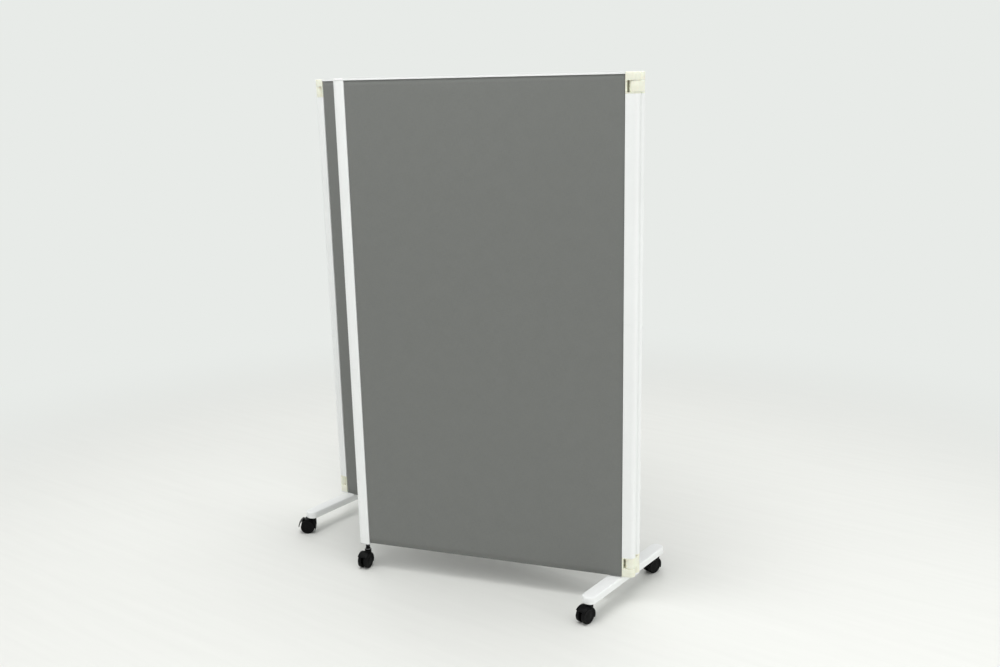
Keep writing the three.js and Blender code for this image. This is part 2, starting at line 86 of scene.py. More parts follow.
FOOT_W = 43 * MM
FOOT_TOP = 80.5 * MM
FOOT_CORNER_R = 20 * MM  # plan corners of the foot's ends
FOOT_SOFT_LOW, FOOT_SOFT_HIGH = 2.6 * MM, 4.2 * MM  # rounding of its lower and upper edges
PAD_IN = 4 * MM  # pad on the foot, from the foot's inner side
PAD_OUT = 11 * MM  # and past the hinge axis
PAD_HALF = 12 * MM
SOCKET_R = 5.5 * MM  # hole in the foot for a caster's stem
SOCKET_L = 17.5 * MM

WHEEL_R = 24 * MM
WHEEL_T = 11 * MM
WHEEL_SHOULDER = 2.6 * MM  # rounding of the tread's outer edge
HUB_CAP_T = 3 * MM  # wheel's wall over the axle's end
# Wheel's outer face, in millimetres: distance in from the tread and depth, then radius and depth.
RIM_STEPS = ((4.2, 0), (4.9, 0.3), (5.6, 1.1), (7, 1.3))
HUB_STEPS = ((9.2, 0.9), (8.6, 0.7), (8.2, 0.2), (7.4, 0))
TRAIL = 20 * MM  # swivel axis to axle
HOOD_WEB = 9 * MM  # hood's wall between the wheels
WHEEL_IN = HOOD_WEB / 2 + 0.8 * MM
WHEEL_OUT = WHEEL_IN + WHEEL_T
AXLE_R = 4 * MM
AXLE_HALF = WHEEL_OUT - HUB_CAP_T - FIT
FENDER_R = WHEEL_R + 2 * MM
FENDER_T = 3 * MM
FENDER_DEG = (38, 205)  # fender's ends, about the axle from the trailing side
FENDER_SOFT = 0.9 * MM
FENDER_CROWN = 1.1 * MM  # how much lower its outer face is at the sides
WEB_IN_DEG = 1  # web's ends, inside the fender's
HOOD_HUB_R = 12 * MM
CASTER_TOP = 56 * MM
BOSS_R = 10.5 * MM

STEM_R = 3.5 * MM  # pin that the hood turns on
STEM_LOW = CASTER_TOP - 20 * MM
FLANGE_R = 9 * MM
FLANGE_LOW = CASTER_TOP + FIT
FLANGE_H = 0.9 * MM
SHANK_R = 5.2 * MM  # stem's part in the foot
SHANK_TOP = 74.5 * MM
STEM_X = POST_W - 24 * MM  # wing caster's swivel axis, from the fabric's edge
END_PLATE = 2 * MM  # plate that closes the foot of a wing's free post
NUT_H = 5 * MM  # nut under that plate
NUT_R = 8.6 * MM
NECK_R = 6.7 * MM
BUSH_T = 0.9 * MM  # wall of the black bush round the neck

PEDAL_PIVOT_DEG = 62
PEDAL_PIVOT_R = WHEEL_R + 5 * MM
PEDAL_LUG_DEG = 11
PEDAL_LUG_R = 4 * MM
PEDAL_LUG_BITE_DEG = 3  # how far the lugs reach past the fender's start
PEDAL_DEG = (3, PEDAL_PIVOT_DEG)  # pedal's ends, about the axle
PEDAL_R = WHEEL_R + 5 * MM  # inside of the pedal's plate, about the axle
PEDAL_T = 2.2 * MM
PEDAL_HALF = 15 * MM
PEDAL_PIN_R = 1.8 * MM
GRIPS_DEG = (7, 13, 19, 25)  # grip ribs on the pedal
GRIP_DEG = 2.4
GRIP_HALF = 12 * MM

joints = {row["name"]: row for row in frame["joints"]}


def joint_at(name):
    return Vector(joints[name]["pos_m"])


def z_span(node):
    low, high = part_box(node)
    return low.z, high.z


# ---------------------------------------------------------------- camera, fitted to the photograph

PHOTO_W, PHOTO_H = 1000, 667
FOCAL_PX = 1075.04
PRINCIPAL = (499.7, 361.44)  # from the top left, in pixels
CAMERA_AT = Vector((2.05924, -2.59959, 1.51662))
PITCH, ROLL, YAW = (math.radians(a) for a in (14.68, -1.31, 36.81))
SENSOR_W = 36  # in millimetres, like the lens
CLIP = (0.05, 100)  # nearest and farthest that is seen


def make_camera():
    """Camera at the photograph's place, with its lens and its shift."""
    data = bpy.data.cameras.new("photo_camera")
    camera = bpy.data.objects.new("photo_camera", data)
    bpy.context.scene.collection.objects.link(camera)
    data.sensor_width = SENSOR_W
    data.lens = FOCAL_PX * SENSOR_W / PHOTO_W
    data.shift_x = (PHOTO_W / 2 - PRINCIPAL[0]) / PHOTO_W
    data.shift_y = (PRINCIPAL[1] - PHOTO_H / 2) / PHOTO_W
    data.clip_start, data.clip_end = CLIP
    forward = Vector((0, math.cos(PITCH), -math.sin(PITCH)))
    level_up = Vector((0, math.sin(PITCH), math.cos(PITCH)))
    right = math.cos(ROLL) * Vector((1, 0, 0)) + math.sin(ROLL) * level_up
    up = math.cos(ROLL) * level_up - math.sin(ROLL) * Vector((1, 0, 0))
    turn = Matrix.Rotation(YAW, 3, "Z") @ Matrix((right, up, -forward)).transposed()
    camera.matrix_world = Matrix.Translation(CAMERA_AT) @ turn.to_4x4()
    bpy.context.scene.camera = camera


# ---------------------------------------------------------------- materials


class Nodes:
    """A material's node tree, with short calls for the nodes that are used here."""

    def __init__(self, name, colour, roughness, metallic=0.0):
        self.material = bpy.data.materials.new(name)
        self.material.use_nodes = True
        self.tree = self.material.node_tree
        self.shader = self.tree.nodes["Principled BSDF"]
        self.shader.inputs["Base Color"].default_value = (*colour, 1)
        self.shader.inputs["Roughness"].default_value = roughness
        self.shader.inputs["Metallic"].default_value = metallic

    def add(self, kind, **inputs):
        node = self.tree.nodes.new(f"ShaderNode{kind}")
        for key, value in inputs.items():
            self.put(node.inputs[key.replace("_", " ")], value)
        return node

    def put(self, socket, value):
        if isinstance(value, bpy.types.NodeSocket):
            self.tree.links.new(value, socket)
        else:
            socket.default_value = value

    def math(self, operation, a, b=0.0):
        node = self.add("Math")
        node.operation = operation
        self.put(node.inputs[0], a)
        self.put(node.inputs[1], b)
        return node.outputs[0]

    def place(self, source="Object", scale=(1, 1, 1)):
        coordinates = self.add("TexCoord")
        mapping = self.add("Mapping", Vector=coordinates.outputs[source], Scale=scale)
        return mapping.outputs[0]

    def noise(self, where, scale, detail=2.0, rough=0.5):
        return self.add("TexNoise", Vector=where, Scale=scale, Detail=detail, Roughness=rough).outputs["Fac"]

    def remap(self, value, low, high, to_low, to_high):
        node = self.add("MapRange", Value=value)
        for key, number in (("From Min", low), ("From Max", high), ("To Min", to_low), ("To Max", to_high)):
            node.inputs[key].default_value = number
        return node.outputs[0]

    def mix(self, factor, a, b):
        node = self.add("MixRGB", Fac=factor)
        self.put(node.inputs["Color1"], a)
        self.put(node.inputs["Color2"], b)
        return node.outputs[0]

    def bump(self, height, distance, strength):
        return self.add("Bump", Height=height, Distance=distance, Strength=strength).outputs[0]

    def out(self, **inputs):
        for key, value in inputs.items():
            self.put(self.shader.inputs[key.replace("_", " ")], value)
        return self.material


def srgb(*levels):
    """Linear colour from levels of 0 to 255."""
    return tuple(((v / 255 + 0.055) / 1.055) ** 2.4 if v > 10 else v / 255 / 12.92 for v in levels)


def shade(colour, factor):
    """Colour made lighter or darker, with its alpha."""
    return (*(c * factor for c in colour), 1)


def fabric_material():
    """Plain weave of grey yarns over a board, with painted shade in the grooves between yarns; its UVs are in
    metres.
    """
    grey = srgb(117, 119, 116)
    n = Nodes("screen_fabric", grey, 0.92)
    where = n.place("UV")
    split = n.add("SeparateXYZ", Vector=where)
    across, along = (
        n.math("SINE", n.math("MULTIPLY", split.outputs[axis], math.pi / YARN_PITCH)) for axis in (0, 1)
    )
    ribs = n.math("ADD", n.math("ABSOLUTE", across), n.math("ABSOLUTE", along))
    over = n.math("MULTIPLY", across, along)
    yarn = n.math("ADD", n.math("MULTIPLY", ribs, 0.35), n.math("MULTIPLY", over, 0.3))
    slub_across = n.noise(n.place("UV", (60, 1700, 1)), 1.0, 2)
    slub_along = n.noise(n.place("UV", (1700, 60, 1)), 1.0, 2)
    slubs = n.math("ADD", slub_across, slub_along)
    fuzz = n.noise(where, 2600, 3, 0.7)
    mottle = n.noise(where, 22, 4, 0.6)
    clouds = n.noise(where, 2.1, 2)
    heather = n.mix(n.remap(slubs, 0.7, 1.3, 0, 1), shade(grey, 0.9), shade(grey, 1.1))
    # painted shade: the grooves between the yarns are darkened towards 0.55 of the grey
    groove_shaded = n.mix(n.remap(yarn, -0.1, 0.8, 0.3, 0), heather, shade(grey, 0.55))
    worn = n.mix(n.remap(mottle, 0.35, 0.65, 0, 0.28), groove_shaded, shade(grey, 1.07))
    clouded = n.mix(n.remap(clouds, 0.3, 0.7, 0, 0.3), worn, shade(grey, 0.93))
    loose = n.math("ADD", n.math("MULTIPLY", slubs, 0.3), n.math("MULTIPLY", fuzz, 0.25))
    height = n.math("ADD", yarn, loose)
    n.shader.inputs["Sheen Weight"].default_value = 0.12
    n.shader.inputs["Sheen Roughness"].default_value = 0.6
    n.shader.inputs["Specular IOR Level"].default_value = 0.2
    return n.out(
        Base_Color=clouded,
        Roughness=n.remap(fuzz, 0.2, 0.8, 0.86, 0.98),
        Normal=n.bump(height, 0.12 * MM, 0.6),
    )


def paint_material():
    """White powder coat: orange peel, faint handling marks."""
    white = srgb(237, 239, 238)
    n = Nodes("white_powder_coat", white, 0.4)
    where = n.place()
    peel = n.noise(where, 520, 2)
    haze = n.noise(where, 7, 4, 0.6)
    rubs = n.noise(n.place(scale=(14, 14, 90)), 1.0, 5, 0.7)
    tinted = n.mix(n.remap(haze, 0.35, 0.7, 0, 1), shade(white, 1.0), shade(white, 0.965))
    marked = n.mix(n.remap(rubs, 0.62, 0.8, 0, 0.25), tinted, (*srgb(188, 188, 184), 1))
    return n.out(
        Base_Color=marked,
        Roughness=n.remap(rubs, 0.3, 0.8, 0.34, 0.52),
        Normal=n.bump(peel, 0.05 * MM, 0.35),
    )


def moulding_material(name, colour, aged_colour):
    """Pale moulded plastic with a fine spark texture and faint flow marks."""
    n = Nodes(name, colour, 0.5)
    where = n.place()
    spark = n.noise(where, 2200, 2, 0.6)
    flow = n.noise(n.place(scale=(30, 30, 60)), 1.0, 3)
    aged = n.mix(n.remap(flow, 0.3, 0.75, 0, 1), (*colour, 1), (*aged_colour, 1))
    n.shader.inputs["Subsurface Weight"].default_value = 0.04
    n.shader.inputs["Subsurface Scale"].default_value = 1.5 * MM
    return n.out(
        Base_Color=aged,
        Roughness=n.remap(flow, 0.2, 0.8, 0.42, 0.6),
        Normal=n.bump(spark, 0.04 * MM, 0.4),
    )


def nylon_material(name, colour, dust_level, gloss):
    """Black moulded nylon: flow marks, fine scratches and some floor dust."""
    n = Nodes(name, colour, gloss)
    n.shader.inputs["Specular IOR Level"].default_value = 0.1
    where = n.place()
    dust = n.noise(where, 130, 5, 0.65)
    scratch = n.noise(n.place(scale=(900, 60, 900)), 1.0, 3, 0.7)
    grain = n.noise(where, 1500, 2)
    dusty = n.mix(n.remap(dust, 0.5, 0.8, 0, dust_level), (*colour, 1), (*srgb(120, 118, 112), 1))
    height = n.math("ADD", n.math("MULTIPLY", grain, 0.5), n.math("MULTIPLY", scratch, 0.5))
    return n.out(
        Base_Color=dusty,
        Roughness=n.remap(n.math("ADD", dust, scratch), 0.7, 1.4, gloss, gloss + 0.25),
        Normal=n.bump(height, 0.03 * MM, 0.5),
    )


def steel_material():
    """Bright plated steel with turning lines."""
    grey = srgb(196, 198, 200)
    n = Nodes("plated_steel", grey, 0.3, 1.0)
    turning = n.noise(n.place(scale=(40, 40, 3200)), 1.0, 3)
    tarnish = n.noise(n.place(), 160, 4, 0.6)
    tinted = n.mix(n.remap(tarnish, 0.45, 0.8, 0, 0.5), shade(grey, 1.0), (*srgb(150, 148, 142), 1))
    return n.out(
        Base_Color=tinted,
        Roughness=n.remap(tarnish, 0.3, 0.8, 0.22, 0.48),
        Normal=n.bump(turning, 0.02 * MM, 0.4),
    )


def board_material():
    """Grey-brown paper board of the panel's core."""
    brown = srgb(176, 158, 130)
    n = Nodes("paper_board", brown, 0.9)
    fibres = n.noise(n.place(scale=(400, 400, 60)), 1.0, 4, 0.7)
    spread = n.mix(n.remap(fibres, 0.3, 0.7, 0, 1), shade(brown, 0.85), shade(brown, 1.12))
    return n.out(Base_Color=spread, Normal=n.bump(fibres, 0.1 * MM, 0.6))


# ---------------------------------------------------------------- outlines
# An outline is a list of convex arcs (centre x, centre y, radius, from, to, steps), going round to the left.
# Setting it in by an amount shrinks every arc.


def around(arcs, inset=0.0):
    """Points of an outline; past its radius, an inset arc becomes a corner that moves in on both axes."""
    points = []
    for cx, cy, radius, start, end, steps in arcs:
        r = max(radius - inset, SHARP)
        pull = max(inset - radius + SHARP, 0)
        for i in range(steps + 1):
            a = math.radians(start + (end - start) * i / steps)
            if pull == 0:
                points.append((cx + r * math.cos(a), cy + r * math.sin(a)))
            else:
                points.append((cx - pull * sign(math.cos(a)), cy - pull * sign(math.sin(a))))
    return points


def sign(value):
    """1, 0 or -1; next to nothing counts as 0."""
    nothing = 1e-6
    return (value > nothing) - (value < -nothing)


def nose_arcs():
    """Section of a post: flat on the fabric's side at x = 0, with a half-round nose."""
    half, corner = PANEL_T / 2, 1.2 * MM
    return [
        (corner, corner - half, corner, 180, 270, 4),
        (NOSE_X, 0, half, -90, 90, 40),
        (corner, half - corner, corner, 90, 180, 4),
    ]


def box_arcs(x0, x1, y0, y1, corner, steps=5):
    """Rectangle with rounded corners."""
    return [
        (x0 + corner, y0 + corner, corner, 180, 270, steps),
        (x1 - corner, y0 + corner, corner, 270, 360, steps),
        (x1 - corner, y1 - corner, corner, 0, 90, steps),
        (x0 + corner, y1 - corner, corner, 90, 180, steps),
    ]


def round_arcs(x, y, radius, steps=40):
    """Full circle, without its first point twice."""
    return [(x, y, radius, 0, 360 * (steps - 1) / steps, steps - 1)]


def link_arcs(pitch):
    """Link from above, its first axis at the origin."""
    return [(0, 0, LINK_R, 90, 270, 32), (pitch, 0, LINK_R, -90, 90, 32)]


# ---------------------------------------------------------------- solids


def new_object(name, points, faces):
    """Object of a mesh, in the scene."""
    mesh = bpy.data.meshes.new(name)
    mesh.from_pydata([tuple(p) for p in points], [], faces)
    mesh.validate()
    mesh.update()
    made = bpy.data.objects.new(name, mesh)
    bpy.context.scene.collection.objects.link(made)
    return made


def smooth(obj, angle=32):
    """Smooth shading, sharp at edges past the angle in degrees."""
    for polygon in obj.data.polygons:
        polygon.use_smooth = True
    obj.data.set_sharp_from_angle(angle=math.radians(angle))
    return obj


def band(lower, upper, count):
    """Faces between two rings, given the number of each ring's first point."""
    return [(lower + i, lower + (i + 1) % count, upper + (i + 1) % count, upper + i) for i in range(count)]


def stack(name, rings, closed=False):
    """Skin over rings of equal length; the first and last are capped, unless the stack closes on itself."""
    count = len(rings[0])
    points = [p for ring in rings for p in ring]
    faces = []
    levels = len(rings) if closed else len(rings) - 1
    for ring in range(levels):
        faces += band(ring * count, ((ring + 1) % len(rings)) * count, count)
    if not closed:
        faces.append(tuple(reversed(range(count))))
        faces.append(tuple(range(len(points) - count, len(points))))
    return new_object(name, points, faces)


def quarter(steps):
    """Angles of a quarter turn."""
    return [math.pi / 2 * i / steps for i in range(steps + 1)]


def soft_prism(name, arcs, low, high, soft_low, soft_high=None, steps=4):
    """Upright prism with its lower and upper edges rounded."""
    soft_high = soft_low if soft_high is None else soft_high
    rings = [
        [(x, y, low + soft_low * (1 - math.cos(a))) for x, y in around(arcs, soft_low * (1 - math.sin(a)))]
        for a in (quarter(steps) if soft_low else [math.pi / 2])
    ]
    rings += [
        [(x, y, high - soft_high * (1 - math.cos(a))) for x, y in around(arcs, soft_high * (1 - math.sin(a)))]
        for a in (reversed(quarter(steps)) if soft_high else [math.pi / 2])
    ]
    return stack(name, rings)


def tube(name, arcs, wall, low, high):
    """Hollow post: outer and inner wall, closed by a rim at each end."""
    outer, inner = around(arcs), around(arcs, wall)
    rings = [
        [(x, y, low) for x, y in inner],
        [(x, y, low) for x, y in outer],
        [(x, y, high) for x, y in outer],
        [(x, y, high) for x, y in inner],
    ]
    return stack(name, rings, closed=True)


def lathe(name, profile, segments=64):
    """Turned solid about the Y axis; the profile is (radius, y) from axis to axis."""
    points, faces = [], []
    rings = []
    for radius, y in profile:
        if radius == 0:
            rings.append([len(points)])
            points.append((0, y, 0))
            continue
        rings.append(list(range(len(points), len(points) + segments)))
        for i in range(segments):
            a = 2 * math.pi * i / segments
            points.append((radius * math.sin(a), y, radius * math.cos(a)))
    for a, b in zip(rings, rings[1:]):
        for i in range(segments):
            j = (i + 1) % segments
            corners = [a[i % len(a)], a[j % len(a)], b[j % len(b)], b[i % len(b)]]
            faces.append(tuple(dict.fromkeys(corners)))
    return new_object(name, points, faces)


def sector(name, inner, outer, half, start, end, soft, steps=40, crown=0.0):
    """Curved wall about the wheel's axle, with rounded edges; crown lowers its outer face at the sides."""
    middle, reach = (inner + outer) / 2, (outer - inner) / 2
    section = box_arcs(-half, half, -reach, reach, soft, 4)
    rings = []
    tip = math.degrees(soft / middle)
    stops = [(start + tip * (1 - math.cos(q)), soft * (1 - math.sin(q))) for q in quarter(3)]
    stops += [(start + tip + (end - start - 2 * tip) * i / steps, 0) for i in range(1, steps)]
    stops += [(end - tip * (1 - math.cos(q)), soft * (1 - math.sin(q))) for q in reversed(quarter(3))]
    for degrees, inset in stops:
        a = math.radians(degrees)
        ring = []
        for y, r in split_long(around(section, min(inset, soft - SHARP))):
            r -= crown * (r > 0) * (y / half) ** 2
            ring.append((TRAIL + (middle + r) * math.cos(a), y, WHEEL_R + (middle + r) * math.sin(a)))
        rings.append(ring)
    return stack(name, rings)


def split_long(points):
    """The same outline with each of its long sides cut into pieces."""
    long, pieces = 10 * MM, 10
    made = []
    for (ax, ay), (bx, by) in zip(points, points[1:] + points[:1]):
        count = pieces if math.hypot(bx - ax, by - ay) > long else 1
        made += [(ax + (bx - ax) * i / count, ay + (by - ay) * i / count) for i in range(count)]
    return made


def combine(base, others, operation):
    """Boolean of a solid with others, which are used up."""
    for other in others:
        modifier = base.modifiers.new("with", "BOOLEAN")
        modifier.operation = operation
        modifier.solver = "EXACT"
        modifier.object = other
        evaluated = base.evaluated_get(bpy.context.evaluated_depsgraph_get())
        mesh = bpy.data.meshes.new_from_object(evaluated)
        base.modifiers.clear()
        base.data = mesh
        bpy.data.objects.remove(other)
    return base


def outward(obj):
    """Turns every face of a closed solid to the outside."""
    form = bmesh.new()
    form.from_mesh(obj.data)
    bmesh.ops.recalc_face_normals(form, faces=form.faces)
    form.to_mesh(obj.data)
    form.free()
    return obj


def shift(obj, x=0.0, y=0.0, z=0.0, rotate=None):
    """Moves or turns a solid's own points."""
    matrix = Matrix.Translation((x, y, z))
    if rotate is not None:
        matrix = matrix @ rotate.to_4x4()
    obj.data.transform(matrix)
    return obj


def dress(obj, name, body, slot, nodes, place=None, material=None):
    """Names a piece, sets it in place, attaches it to its body and hides the nodes it stands for; its slot's
    material is the usual one.
    """
    obj.name = name
    obj.data.name = name
    obj.data.materials.clear()
    obj.data.materials.append(material or MATERIALS[slot])
    if place is not None:
        obj.matrix_world = place
    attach(obj, body)
    if nodes:
        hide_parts(*nodes)
    return obj


def copy_of(obj):
    """Twin with a mesh of its own."""
    twin = obj.copy()
    twin.data = obj.data.copy()
    bpy.context.scene.collection.objects.link(twin)
    return twin


# ---------------------------------------------------------------- fabric


def sleeve_outline(half_w, half_t, columns):
    """Points round the cloth's section, from its front left corner."""
    flat_w, flat_t = half_w - WRAP_R, half_t - WRAP_R
    straight = [flat_w - 2 * flat_w * i / columns for i in range(1, columns)]

    def bend(side_x, side_y, start):
        steps = 6
        x, y = side_x * flat_w, side_y * flat_t
        angles = [math.radians(start + 90 * i / steps) for i in range(steps + 1)]
        return [(x + WRAP_R * math.cos(a), y + WRAP_R * math.sin(a)) for a in angles]

    front = [(-x, -half_t) for x in straight]
    back = [(x, half_t) for x in straight]
    return front + bend(1, -1, 270) + bend(1, 1, 0) + back + bend(-1, 1, 90) + bend(-1, -1, 180)


def fabric_sleeve(name, low, high):
    """Cloth round a board between two corners, in the panel's own axes, with UVs in metres."""
    columns, rows = 64, 72
    wave_x, wave_z, wave_y = 4, 4, 90  # waves of the give, per metre
    half_w, half_t = (high.x - low.x) / 2, (high.y - low.y) / 2
    loop = sleeve_outline(half_w, half_t, columns)
    count = len(loop)
    lengths = [0.0]
    for i in range(count):
        (x0, y0), (x1, y1) = loop[i], loop[(i + 1) % count]
        lengths.append(lengths[-1] + math.hypot(x1 - x0, y1 - y0))
    centre = (low + high) / 2
    points = []
    for row in range(rows + 1):
        z = low.z + (high.z - low.z) * row / rows
        for x, y in loop:
            edge = min(half_w - abs(x), z - low.z, high.z - z) / CLOTH_CALM
            calm = max(0.0, min(1.0, edge))
            wave = noise.noise(Vector((x * wave_x, z * wave_z, y * wave_y)))
            give = CLOTH_RELIEF * calm * (0.5 + 0.5 * wave)
            points.append((centre.x + x, centre.y + y - math.copysign(give, y), z))
    faces = []
    for row in range(rows):
        faces += band(row * count, (row + 1) * count, count)
    sleeve = new_object(name, points, faces)
    layer = sleeve.data.uv_layers.new(name="cloth")
    rise = (high.z - low.z) / rows
    for index, polygon in enumerate(sleeve.data.polygons):
        row, column = divmod(index, count)
        us, vs = (lengths[column], lengths[column + 1]), (rise * row, rise * (row + 1))
        corners = ((us[0], vs[0]), (us[1], vs[0]), (us[1], vs[1]), (us[0], vs[1]))
        for loop_index, corner in zip(polygon.loop_indices, corners):
            layer.data[loop_index].uv = corner
    return smooth(sleeve, 60), lengths[-1]


# ---------------------------------------------------------------- hinge and post pieces, nose towards +X


def fork(name, knuckle):
    """Hinge fork hanging from z = 0: end block, back wall, collar and spigot."""
    half = PANEL_T / 2
    mouth, collar = -knuckle, -knuckle - LINK_ROOM
    under = collar - COLLAR_H
    body = soft_prism(name, nose_arcs(), mouth, 0, 0.4 * MM, TOP_SOFT)
    wall = soft_prism("wall", box_arcs(0, FORK_WEB, -half, half, 0.9 * MM), under + BITE, mouth + 3 * BITE, 0)
    seat = soft_prism("plate", nose_arcs(), under, collar, 0.3 * MM, 0.5 * MM)
    plug = soft_prism("plug", inner_arcs(), under - SPIGOT_L, under + BITE, MM, 0)
    combine(body, [wall, seat, plug], "UNION")
    bore = PIVOT_R + FIT
    holes = [
        soft_prism("hole", round_arcs(NOSE_X, 0, bore), mouth - BITE, mouth + PIVOT_L, 0),
        soft_prism("hole", round_arcs(NOSE_X, 0, bore), collar - PIVOT_L, collar + BITE, 0),
    ]
    return smooth(combine(body, holes, "DIFFERENCE"))


def inner_arcs():
    """Post's bore less its clearance."""
    gap, corner = POST_WALL + FIT, 1 * MM
    half = PANEL_T / 2 - gap
    return [
        (gap + corner, corner - half, corner, 180, 270, 3),
        (NOSE_X, 0, half, -90, 90, 24),
        (gap + corner, half - corner, corner, 90, 180, 3),
    ]


def cap(name, height):
    """Cap of a free post, hanging from z = 0, with its spigot."""
    body = soft_prism(name, nose_arcs(), -height, 0, 1.2 * MM, TOP_SOFT)
    plug = soft_prism("plug", inner_arcs(), -height - SPIGOT_L, -height + BITE, MM, 0)
    return smooth(combine(body, [plug], "UNION"))


def link(name, pitch, low, high):
    """Hinge link with a pin through each end."""
    body = soft_prism(name, link_arcs(pitch), low, high, LINK_SOFT)
    pins = [
        soft_prism("pin", round_arcs(x, 0, PIVOT_R), low - PIN_L, high + PIN_L, 0.6 * MM)
        for x in (0, pitch)
    ]
    return smooth(combine(body, pins, "UNION"))


# ---------------------------------------------------------------- casters
# A caster's swivel axis is at the origin, and it trails to +X.


def wheel(name, side):
    """Twin wheel's half: rounded tread, dished face with a raised rim, and a hub cap."""
    bore, soft, shoulder = AXLE_R + FIT, 1 * MM, WHEEL_SHOULDER
    bottom = WHEEL_OUT - HUB_CAP_T
    inner, outer = WHEEL_R - soft, WHEEL_R - shoulder
    profile = [(0, bottom), (bore, bottom), (bore, WHEEL_IN), (inner, WHEEL_IN)]
    profile += [(inner + soft * math.sin(q), WHEEL_IN + soft * (1 - math.cos(q))) for q in quarter(4)[1:]]
    profile += [
        (outer + shoulder * math.cos(q), WHEEL_OUT - shoulder + shoulder * math.sin(q)) for q in quarter(6)
    ]
    profile += [(WHEEL_R - back * MM, WHEEL_OUT - depth * MM) for back, depth in RIM_STEPS]
    profile += [(radius * MM, WHEEL_OUT - depth * MM) for radius, depth in HUB_STEPS]
    profile.append((0, WHEEL_OUT))
    made = lathe(name, profile)
    if side < 0:
        shift(made, rotate=Matrix.Rotation(math.pi, 3, "X"))
    shift(made, TRAIL, 0, WHEEL_R)
    return smooth(outward(made))


def rod(name, radius, x, z, half, steps=40):
    """Round bar along Y."""
    made = lathe(name, [(0, -half), (radius, -half), (radius, half), (0, half)], steps)
    return outward(shift(made, x, 0, z))


def pedal_pivot():
    """Pedal's axis, in X-Z."""
    a = math.radians(PEDAL_PIVOT_DEG)
    return TRAIL + PEDAL_PIVOT_R * math.cos(a), WHEEL_R + PEDAL_PIVOT_R * math.sin(a)


def slice_points(radius, start, end, steps=28):
    """Pie slice about the axle, in X-Z."""
    points = [(TRAIL, WHEEL_R)]
    for i in range(steps + 1):
        a = math.radians(start + (end - start) * i / steps)
        points.append((TRAIL + radius * math.cos(a), WHEEL_R + radius * math.sin(a)))
    return points


def plate(name, points, half):
    """Flat plate of an X-Z outline, to both sides of the middle."""
    rings = [[(x, y, z) for x, z in points] for y in (-half, half)]
    return outward(stack(name, rings))


def swivel_boss():
    """Round boss over the stem, cut clear of both wheels."""
    outline = round_arcs(0, 0, BOSS_R, 56)
    boss = outward(soft_prism("boss", outline, WHEEL_R + AXLE_R, CASTER_TOP, 0.4 * MM, 1.2 * MM))
    room_half, room_y = (WHEEL_OUT - HOOD_WEB / 2) / 2, (WHEEL_OUT + HOOD_WEB / 2) / 2
    rooms = [
        shift(rod("room", FENDER_R - 5 * SKIM, TRAIL, WHEEL_R, room_half, 72), 0, side * room_y, 0)
        for side in (-1, 1)
    ]
    return combine(boss, rooms, "DIFFERENCE")


def pedal_lugs(start):
    """Parts of the hood that carry a pedal's pin, up to the fender's start."""
    x, z = pedal_pivot()
    low_lug = slice_points(WHEEL_R, PEDAL_PIVOT_DEG - PEDAL_LUG_DEG, start + PEDAL_LUG_BITE_DEG, 6)
    high_lug = slice_points(PEDAL_PIVOT_R, PEDAL_PIVOT_DEG, start + PEDAL_LUG_BITE_DEG, 6)
    return [
        rod("lug", PEDAL_LUG_R, x, z, HOOD_WEB / 2 - SKIM),
        plate("low_lug", low_lug, HOOD_WEB / 2 - 3 * SKIM),
        plate("high_lug", high_lug, HOOD_WEB / 2 - 4 * SKIM),
    ]


def hood(name, braked):
    """Hood: fender, wall between the wheels, boss, axle, and lugs where a pedal is hinged."""
    start = PEDAL_PIVOT_DEG + PEDAL_LUG_DEG if braked else FENDER_DEG[0]
    end = FENDER_DEG[1]
    fender_top = FENDER_R + FENDER_T
    body = outward(sector(name, FENDER_R, fender_top, WHEEL_OUT, start, end, FENDER_SOFT, crown=FENDER_CROWN))
    web_points = slice_points(FENDER_R + FENDER_T / 2, start + WEB_IN_DEG, end - WEB_IN_DEG)
    web = plate("web", web_points, HOOD_WEB / 2)
    hub = rod("hub", HOOD_HUB_R, TRAIL, WHEEL_R, HOOD_WEB / 2 - 2 * SKIM)
    lugs = pedal_lugs(start) if braked else []
    combine(body, [web, hub, swivel_boss(), *lugs], "UNION")
    hole = soft_prism("hole", round_arcs(0, 0, STEM_R + FIT), STEM_LOW - 0.5 * MM, CASTER_TOP + BITE, 0)
    combine(body, [outward(hole)], "DIFFERENCE")
    if braked:
        combine(body, [rod("hole", PEDAL_PIN_R + FIT, *pedal_pivot(), HOOD_WEB)], "DIFFERENCE")
    axle = rod("axle", AXLE_R, TRAIL, WHEEL_R, AXLE_HALF)
    return smooth(combine(body, [axle], "UNION"))


def pedal(name):
    """Brake pedal: curved plate with grip ribs, and a forked hub on the hood's lug."""
    x, z = pedal_pivot()
    body = outward(sector(name, PEDAL_R, PEDAL_R + PEDAL_T, PEDAL_HALF, *PEDAL_DEG, 0.8 * MM, 20))
    hub = rod("hub", PEDAL_LUG_R, x, z, HOOD_WEB / 2 + 3.3 * MM)
    low, high = PEDAL_R + 1.6 * MM, PEDAL_R + 2.9 * MM
    grips = [outward(sector("rib", low, high, GRIP_HALF, a, a + GRIP_DEG, 0.4 * MM, 4)) for a in GRIPS_DEG]
    combine(body, [hub, *grips], "UNION")
    combine(body, [rod("room", PEDAL_LUG_R + 0.9 * MM, x, z, HOOD_WEB / 2 + FIT)], "DIFFERENCE")
    return smooth(combine(body, [rod("pin", PEDAL_PIN_R, x, z, HOOD_WEB / 2 + 1.8 * MM)], "UNION"))


def upright_rod(name, radius, low, high, soft):
    """Round bar along Z with soft ends."""
    return soft_prism(name, round_arcs(0, 0, radius, 40), low, high, soft, steps=3)


def stem_base(name):
    """Flange on the hood, and the pin that the hood turns on."""
    flange = upright_rod(name, FLANGE_R, FLANGE_LOW, FLANGE_LOW + FLANGE_H, 0.2 * MM)
    return flange, upright_rod("pin", STEM_R, STEM_LOW, FLANGE_LOW + 0.5 * MM, 0.6 * MM)


